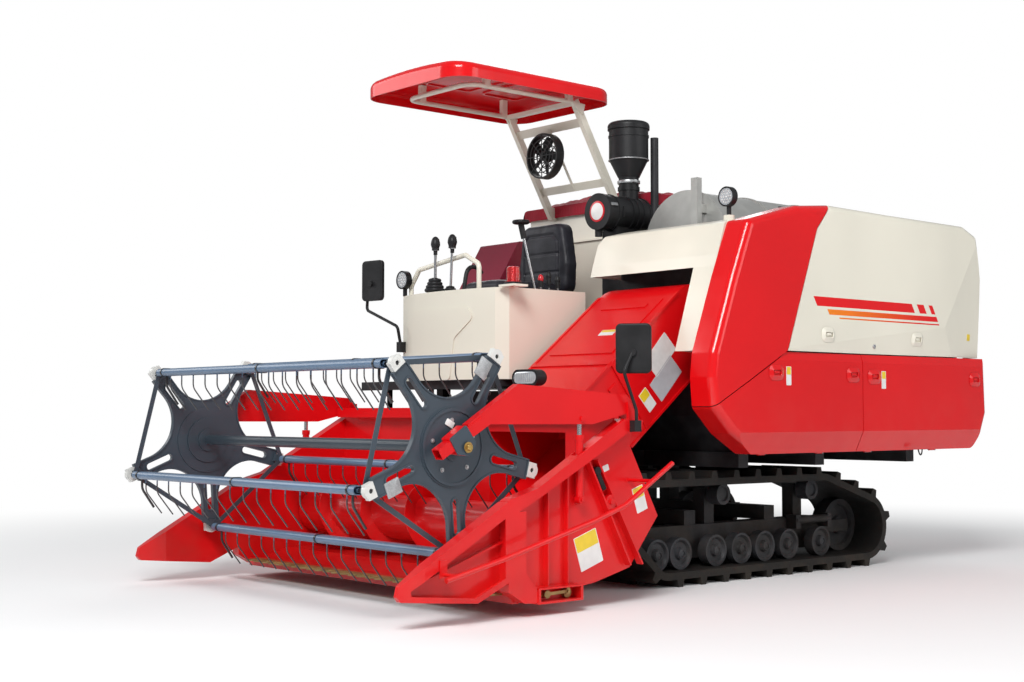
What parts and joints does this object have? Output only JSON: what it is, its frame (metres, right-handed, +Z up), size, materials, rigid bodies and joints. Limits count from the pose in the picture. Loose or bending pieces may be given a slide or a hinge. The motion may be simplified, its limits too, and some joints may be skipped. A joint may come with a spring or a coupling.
{
  "type": "full-feed crawler combine harvester",
  "caption": "Self-propelled rice and wheat combine on rubber tracks with a tined reel header, offset feeder, threshing body with side covers, operator station and canopy.",
  "frame": {"origin": "on the ground under the middle of the machine", "axes": "+Z up, -Y forward, +X to the machine's left"},
  "size_m": [2.624, 4.658, 2.8899],
  "materials": {
    "body_red": "gloss",
    "cover_red": "gloss",
    "body_cream": "gloss",
    "cover_cream": "gloss",
    "chassis_black": "satin",
    "cast_black": "satin",
    "track_rubber": "matt",
    "reel_grey": "satin",
    "bar_blue": "satin",
    "knife_steel": "satin",
    "vinyl_black": "satin",
    "tarp_red": "matt",
    "plastic_black": "satin",
    "grey_panel": "satin",
    "maroon": "satin",
    "chrome_rod": "polished",
    "lamp_black": "satin",
    "bearing_white": "gloss",
    "beacon_red": "gloss"
  },
  "bodies": {
    "root": {"chassis_frame": "chassis_black", "final_drive": "cast_black", "track_frames": "chassis_black", "track_wheels": "cast_black", "track_left": "track_rubber", "track_right": "track_rubber", "thresher_body": "grey_panel", "drum_cover": "grey_panel", "side_cover_front": "cover_red", "front_cowl": "body_cream", "rear_hood": "body_red", "grain_tank": "body_cream", "tank_cover": "tarp_red", "right_side_panel": "body_cream", "engine_block": "cast_black", "radiator_housing": "maroon", "platform": "chassis_black", "console": "cover_cream", "handrail": "body_cream", "control_levers": "chrome_rod", "seat_base": "chassis_black", "seat_cushion": "vinyl_black", "seat_back": "vinyl_black", "canopy_roof": "cover_red", "canopy_frame": "body_cream", "fan_cage": "plastic_black", "air_cleaner": "plastic_black", "exhaust_pipe": "chassis_black", "work_lamps": "lamp_black", "mirror_right": "plastic_black", "unloader_base": "body_red", "beacon": "beacon_red", "side_drives": "cast_black"},
    "upper_cover": {"side_cover_upper": "cover_cream"},
    "lower_front_cover": {"side_cover_lower_front": "cover_red"},
    "lower_rear_cover": {"side_cover_lower_rear": "cover_red"},
    "fan_rotor": {"fan_rotor": "plastic_black"},
    "unloader": {"unload_tube": "body_red"},
    "header": {"header_frame": "body_red", "divider_noses": "body_red", "divider_rods": "body_red", "knife_guards": "knife_steel", "feeder_house": "body_red", "header_fittings": "plastic_black", "header_lamp": "lamp_black"},
    "knife": {"knife_bar": "knife_steel"},
    "auger": {"auger": "body_red"},
    "reel_arms": {"reel_arms": "body_red"},
    "reel": {"reel_spiders": "reel_grey", "reel_bearings": "bearing_white"},
    "reel_cylinder": {"reel_cylinder_barrels": "body_red"},
    "reel_cylinder_rod": {"reel_cylinder_rods": "chrome_rod"},
    "lift_cylinder": {"lift_cylinder_barrel": "chassis_black"},
    "lift_rod": {"lift_cylinder_rod": "chrome_rod"},
    "tine_bar_1": {"tine_bar_1": "bar_blue"},
    "tine_bar_2": {"tine_bar_2": "bar_blue"},
    "tine_bar_3": {"tine_bar_3": "bar_blue"},
    "tine_bar_4": {"tine_bar_4": "bar_blue"},
    "tine_bar_5": {"tine_bar_5": "bar_blue"}
  },
  "joints": [
    {"name": "header_lift", "type": "hinge", "parent": "root", "child": "header", "pos_m": [0, 0.06, 1.4], "axis": [-1, 0, 0], "range_deg": [-1.72, 20.05]},
    {"name": "reel_lift", "type": "hinge", "parent": "header", "child": "reel_arms", "pos_m": [0, -0.835, 0.945], "axis": [-1, 0, 0], "range_deg": [0, 25.78]},
    {"name": "reel_spin", "type": "hinge", "parent": "reel_arms", "child": "reel", "pos_m": [0, -1.85, 0.769], "axis": [1, 0, 0], "continuous": true},
    {"name": "auger_spin", "type": "hinge", "parent": "header", "child": "auger", "pos_m": [0, -1.1, 0.35], "axis": [1, 0, 0], "continuous": true},
    {"name": "knife_stroke", "type": "slide", "parent": "header", "child": "knife", "axis": [1, 0, 0], "range_m": [-0.0381, 0.0381]},
    {"name": "tine_bar_1_level", "type": "hinge", "parent": "reel", "child": "tine_bar_1", "pos_m": [0, -1.38891, 0.65489], "axis": [1, 0, 0], "continuous": true},
    {"name": "tine_bar_2_level", "type": "hinge", "parent": "reel", "child": "tine_bar_2", "pos_m": [0, -1.59899, 1.17226], "axis": [1, 0, 0], "continuous": true},
    {"name": "tine_bar_3_level", "type": "hinge", "parent": "reel", "child": "tine_bar_3", "pos_m": [0, -2.15596, 1.13234], "axis": [1, 0, 0], "continuous": true},
    {"name": "tine_bar_4_level", "type": "hinge", "parent": "reel", "child": "tine_bar_4", "pos_m": [0, -2.2901, 0.59029], "axis": [1, 0, 0], "continuous": true},
    {"name": "tine_bar_5_level", "type": "hinge", "parent": "reel", "child": "tine_bar_5", "pos_m": [0, -1.81604, 0.29522], "axis": [1, 0, 0], "continuous": true},
    {"name": "reel_cylinder_tilt", "type": "hinge", "parent": "header", "child": "reel_cylinder", "pos_m": [0, -1.15, 0.515], "axis": [-1, 0, 0], "range_deg": [-2, 2]},
    {"name": "reel_cylinder_stroke", "type": "slide", "parent": "reel_cylinder", "child": "reel_cylinder_rod", "axis": [0, 0, 1], "range_m": [-0.001, 0.15]},
    {"name": "lift_cylinder_tilt", "type": "hinge", "parent": "root", "child": "lift_cylinder", "pos_m": [0.26, -0.02, 0.665], "axis": [-1, 0, 0], "range_deg": [-3, 27]},
    {"name": "lift_cylinder_stroke", "type": "slide", "parent": "lift_cylinder", "child": "lift_rod", "axis": [0, -0.932, -0.3624], "range_m": [-0.024, 0.252]},
    {"name": "upper_cover_open", "type": "hinge", "parent": "root", "child": "upper_cover", "pos_m": [1.045, 1.3, 2.065], "axis": [0, -1, 0], "range_deg": [0, 75]},
    {"name": "lower_front_cover_open", "type": "hinge", "parent": "root", "child": "lower_front_cover", "pos_m": [1.045, 0.5, 0.699], "axis": [0, 1, 0], "range_deg": [0, 85]},
    {"name": "lower_rear_cover_open", "type": "hinge", "parent": "root", "child": "lower_rear_cover", "pos_m": [1.045, 1.6, 0.699], "axis": [0, 1, 0], "range_deg": [0, 85]},
    {"name": "unloader_swing", "type": "hinge", "parent": "root", "child": "unloader", "pos_m": [-0.9, 1.93, 1.98], "axis": [0, 0, 1], "range_deg": [0, 180]},
    {"name": "fan_spin", "type": "hinge", "parent": "root", "child": "fan_rotor", "pos_m": [-0.5, 0.13, 2.49], "axis": [0, 1, 0], "continuous": true}
  ],
  "couplings": [
    {"joint": "reel_cylinder_stroke", "follows": "reel_lift", "m_per_rad": 0.31758},
    {"joint": "reel_cylinder_tilt", "follows": "reel_lift", "ratio": 0.001851},
    {"joint": "lift_cylinder_stroke", "follows": "header_lift", "m_per_rad": 0.70111},
    {"joint": "lift_cylinder_tilt", "follows": "header_lift", "ratio": 1.2351},
    {"joint": "tine_bar_1_level", "follows": "reel_spin", "ratio": -1},
    {"joint": "tine_bar_2_level", "follows": "reel_spin", "ratio": -1},
    {"joint": "tine_bar_3_level", "follows": "reel_spin", "ratio": -1},
    {"joint": "tine_bar_4_level", "follows": "reel_spin", "ratio": -1},
    {"joint": "tine_bar_5_level", "follows": "reel_spin", "ratio": -1}
  ]
}
